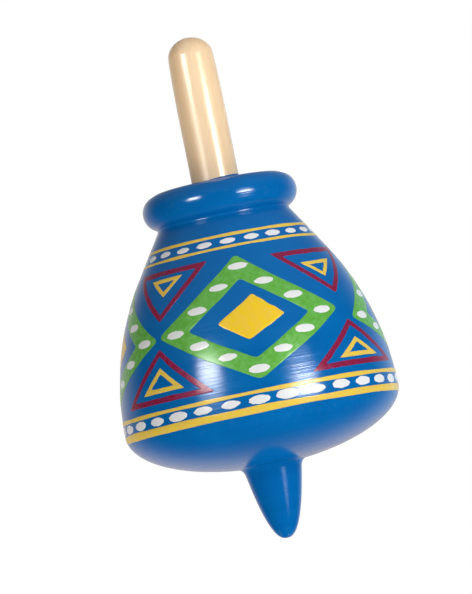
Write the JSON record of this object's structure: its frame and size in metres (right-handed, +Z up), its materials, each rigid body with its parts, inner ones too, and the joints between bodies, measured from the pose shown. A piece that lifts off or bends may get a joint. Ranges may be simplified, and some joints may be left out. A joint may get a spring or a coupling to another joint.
{
  "type": "wooden spinning top",
  "caption": "Turned wooden spinning top: blue lacquered bulb with a round collar, a pointed tip and a pale stem to twirl between the fingers.",
  "frame": {"origin": "the lowest point of the tip, on the spin axis", "axes": "+Z up along the spin axis from the tip to the stem, +X and +Y square to it"},
  "size_m": [0.058, 0.058, 0.1064],
  "materials": {
    "body_lacquer": "gloss blue lacquer with a hand painted belt of diamonds, triangles, dots and lines",
    "collar_lacquer": "gloss blue lacquer",
    "tip_lacquer": "gloss blue lacquer, worn at the point",
    "stem_wood": "pale wood under a clear satin lacquer"
  },
  "bodies": {
    "root": {"body": "body_lacquer", "collar": "collar_lacquer", "tip": "tip_lacquer", "stem": "stem_wood"}
  },
  "joints": []
}
